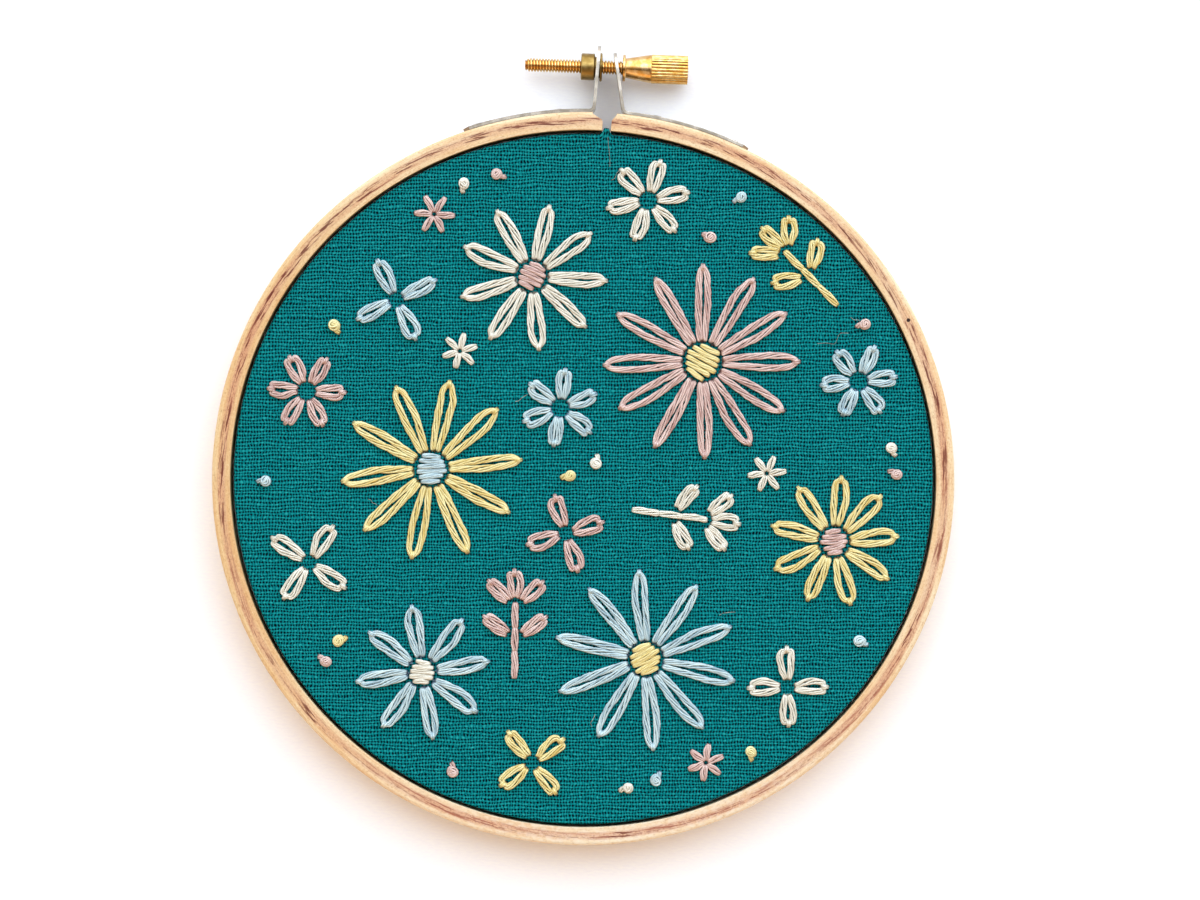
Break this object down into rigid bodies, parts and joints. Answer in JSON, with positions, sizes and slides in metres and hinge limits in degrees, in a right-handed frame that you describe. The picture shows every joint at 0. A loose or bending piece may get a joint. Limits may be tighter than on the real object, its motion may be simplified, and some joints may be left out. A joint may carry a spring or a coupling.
{
  "type": "embroidered cloth in a wooden embroidery hoop",
  "caption": "Flower embroidery on teal cloth, stretched in a split wooden hoop with a brass tension screw; lies flat or hangs by its screw.",
  "frame": {"origin": "on the surface that the hoop lies on, under the middle of its length and width, screw included", "axes": "+Z out of the embroidered face, +Y from the hoop's centre to its tension screw, +X to the screw's head"},
  "size_m": [0.1606, 0.1733, 0.0096],
  "materials": {
    "hoop_wood": "sanded, pale, unvarnished",
    "ground_cloth": "plain-woven teal linen and cotton",
    "plated_steel": "plated strip",
    "brass": "bright turned",
    "floss_rose": "stranded cotton",
    "floss_lemon": "stranded cotton",
    "floss_sky": "stranded cotton",
    "floss_ecru": "stranded cotton"
  },
  "bodies": {
    "hoop": {"blossom_ecru_left": "floss_ecru", "blossom_ecru_right": "floss_ecru", "blossom_ecru_top": "floss_ecru", "blossom_lemon_low": "floss_lemon", "blossom_rose_left": "floss_rose", "blossom_rose_middle": "floss_rose", "blossom_sky_left": "floss_sky", "blossom_sky_middle": "floss_sky", "blossom_sky_right": "floss_sky", "bracket_left": "plated_steel", "bracket_right": "plated_steel", "cloth": "ground_cloth", "daisy_ecru": "floss_ecru", "daisy_ecru_centre": "floss_rose", "daisy_lemon_left": "floss_lemon", "daisy_lemon_left_centre": "floss_sky", "daisy_lemon_right": "floss_lemon", "daisy_lemon_right_centre": "floss_rose", "daisy_rose": "floss_rose", "daisy_rose_centre": "floss_lemon", "daisy_sky_left": "floss_sky", "daisy_sky_left_centre": "floss_ecru", "daisy_sky_low": "floss_sky", "daisy_sky_low_centre": "floss_lemon", "inner_ring": "hoop_wood", "knot_01": "floss_ecru", "knot_02": "floss_rose", "knot_03": "floss_sky", "knot_04": "floss_rose", "knot_05": "floss_rose", "knot_06": "floss_ecru", "knot_07": "floss_rose", "knot_08": "floss_sky", "knot_09": "floss_lemon", "knot_10": "floss_ecru", "knot_11": "floss_sky", "knot_12": "floss_rose", "knot_13": "floss_rose", "knot_14": "floss_lemon", "knot_15": "floss_sky", "knot_16": "floss_lemon", "knot_17": "floss_lemon", "knot_18": "floss_ecru", "nut": "brass", "outer_ring": "hoop_wood", "rivet_left_far": "plated_steel", "rivet_left_near": "plated_steel", "rivet_right_far": "plated_steel", "rivet_right_near": "plated_steel", "sprig_ecru": "floss_ecru", "sprig_lemon": "floss_lemon", "sprig_rose": "floss_rose", "star_ecru_left": "floss_ecru", "star_ecru_right": "floss_ecru", "star_rose_low": "floss_rose", "star_rose_top": "floss_rose"},
    "screw": {"tension_screw": "brass"}
  },
  "joints": [
    {"name": "screw_turns", "type": "hinge", "parent": "hoop", "child": "screw", "pos_m": [0, 0.08215, 0.00475], "axis": [0.9995, 0.0314, 0], "continuous": true}
  ]
}
